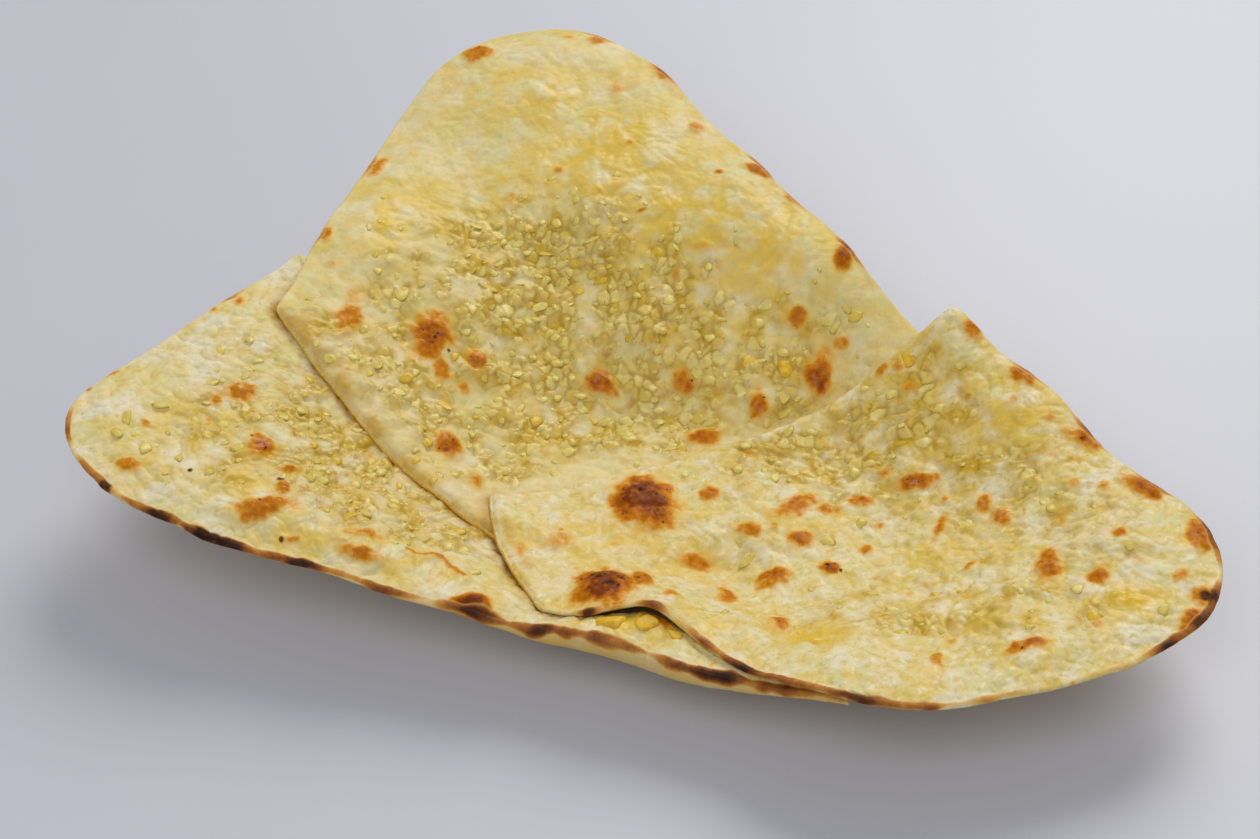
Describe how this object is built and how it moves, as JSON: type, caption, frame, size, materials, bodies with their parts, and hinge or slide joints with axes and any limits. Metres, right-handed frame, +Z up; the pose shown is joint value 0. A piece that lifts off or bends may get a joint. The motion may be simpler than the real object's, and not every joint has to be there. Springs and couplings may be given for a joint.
{
  "type": "naan bread",
  "caption": "Thin flat naan bread with garlic butter and scorched spots, cut into slices that lie overlapped in a shallow dish shape.",
  "frame": {"origin": "middle of the footprint, at the level of the flat underside that the naan rests on", "axes": "+Z up; +X along the longest extent, towards the tip of the right slice; +Y towards the back slice"},
  "size_m": [0.3202, 0.2776, 0.0565],
  "materials": {
    "slice_left": "soft baked bread with butter, satin",
    "slice_back": "soft baked bread with butter, satin",
    "slice_right": "soft baked bread with butter, satin"
  },
  "bodies": {
    "root": {"slice_left": "slice_left", "slice_back": "slice_back", "slice_right": "slice_right"}
  },
  "joints": []
}
